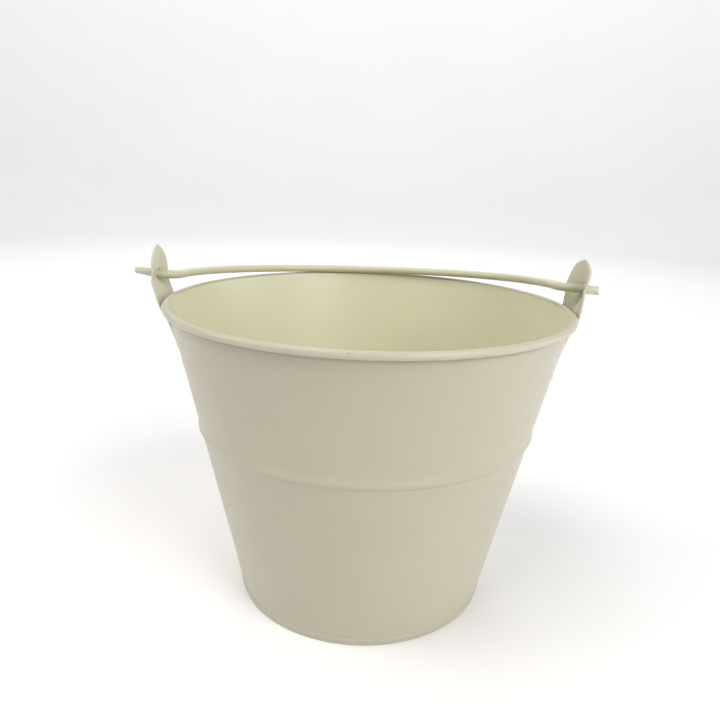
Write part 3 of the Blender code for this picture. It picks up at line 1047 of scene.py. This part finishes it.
def make_light(name, place, target, size, power, colour):
    """A soft rectangular lamp aimed at a point."""
    lamp = bpy.data.lights.new(name, "AREA")
    lamp.shape = "RECTANGLE"
    lamp.size, lamp.size_y = size
    lamp.energy = power
    lamp.color = colour
    item = bpy.data.objects.new(name, lamp)
    item.location = place
    item.rotation_euler = (Vector(target) - Vector(place)).to_track_quat("-Z", "Y").to_euler()
    bpy.context.scene.collection.objects.link(item)


def make_lamp(name, azimuth, height, power, tint):
    """A square soft box aimed at the pail. Azimuth is 0 in front of it and grows to its right."""
    level = math.cos(height) * LAMP_DISTANCE
    up = math.sin(height) * LAMP_DISTANCE
    place = (math.sin(azimuth) * level, -math.cos(azimuth) * level, up)
    make_light(name, place, LAMP_TARGET, (LAMP_SIZE, LAMP_SIZE), power, tint)


def make_world(strength):
    """An even white surround."""
    world = bpy.data.worlds.new("studio_world")
    world.use_nodes = True
    background = world.node_tree.nodes["Background"]
    background.inputs["Color"].default_value = (1.0, 0.995, 0.99, 1.0)
    background.inputs["Strength"].default_value = strength
    bpy.context.scene.world = world


def make_camera():
    """The camera, a little above the rim and looking down into the pail."""
    data = bpy.data.cameras.new("camera")
    data.lens = CAMERA_LENS
    data.sensor_width = 36.0
    data.shift_x, data.shift_y = CAMERA_SHIFT
    data.clip_start = 0.01
    camera = bpy.data.objects.new("camera", data)
    tilt = Matrix.Rotation(CAMERA_TILT, 4, "X")
    roll = Matrix.Rotation(CAMERA_ROLL, 4, "Z")
    camera.matrix_world = Matrix.Translation(CAMERA_PLACE) @ tilt @ roll
    bpy.context.scene.collection.objects.link(camera)
    bpy.context.scene.camera = camera


def rim_point(angle, turn):
    """A point on the outside of the curl, turn up from level."""
    reach = CURL_RADIUS + SHEET / 2
    radius = RIM_RADIUS + reach * math.cos(turn)
    return (radius * math.cos(angle), radius * math.sin(angle), RIM_HEIGHT + reach * math.sin(turn))


def build():
    """Make every piece, then the studio."""
    rim_chips = []
    for azimuth, turn, radius in CHIPS:
        rim_chips.append((rim_point(math.radians(azimuth), math.radians(turn)), radius))
    # The paints are lit and shaded copies of one cream: painted shade on the outside wall, with
    # painted shade bands under the curl, the bead and the hem's step, and painted light inside, on
    # the curl, the pan, the ears, the rivets and the bail
    wall_paint_shaded = painted("cream_paint_wall_painted_shade", CREAM_SHADED_OUTSIDE, rim_chips, shaded_bands=True)
    inside_paint_lit = painted("cream_paint_inside_wall_painted_light", CREAM_LIT_INSIDE, rim_chips, coat=0.45)
    make_wall(wall_paint_shaded, inside_paint_lit, painted("cream_paint_rim_painted_light", CREAM_LIT_RIM, rim_chips))
    make_rim_wire(drawn_steel())
    make_pan(painted("cream_paint_pan_painted_light", CREAM_LIT_INSIDE))
    ear_paint_lit = painted("cream_paint_ears_painted_light", CREAM_LIT_EARS)
    for name in EARS:
        make_ear(name, ear_paint_lit)
    rivet_paint_lit = painted("cream_paint_rivets_painted_light", CREAM_LIT_EARS)
    for ear_name, side in (("left", -1), ("right", 1)):
        for row_name, across in (("front", -RIVET_OFFSET), ("rear", RIVET_OFFSET)):
            make_rivet(f"rivet_{ear_name}_{row_name}", side, across, rivet_paint_lit)
    make_bail(painted("cream_paint_bail_painted_light", CREAM_LIT_EARS, peel=0.7))
    make_camera()
    make_studio()
    for name, azimuth, height, power, tint in LAMPS:
        make_lamp(name, math.radians(azimuth), math.radians(height), power, tint)
    make_light("backdrop", BACKDROP_PLACE, BACKDROP_TARGET, BACKDROP_SIZE, BACKDROP_POWER, WHITE)
    make_world(WORLD_STRENGTH)
    bpy.context.scene.view_settings.view_transform = "Standard"


build()
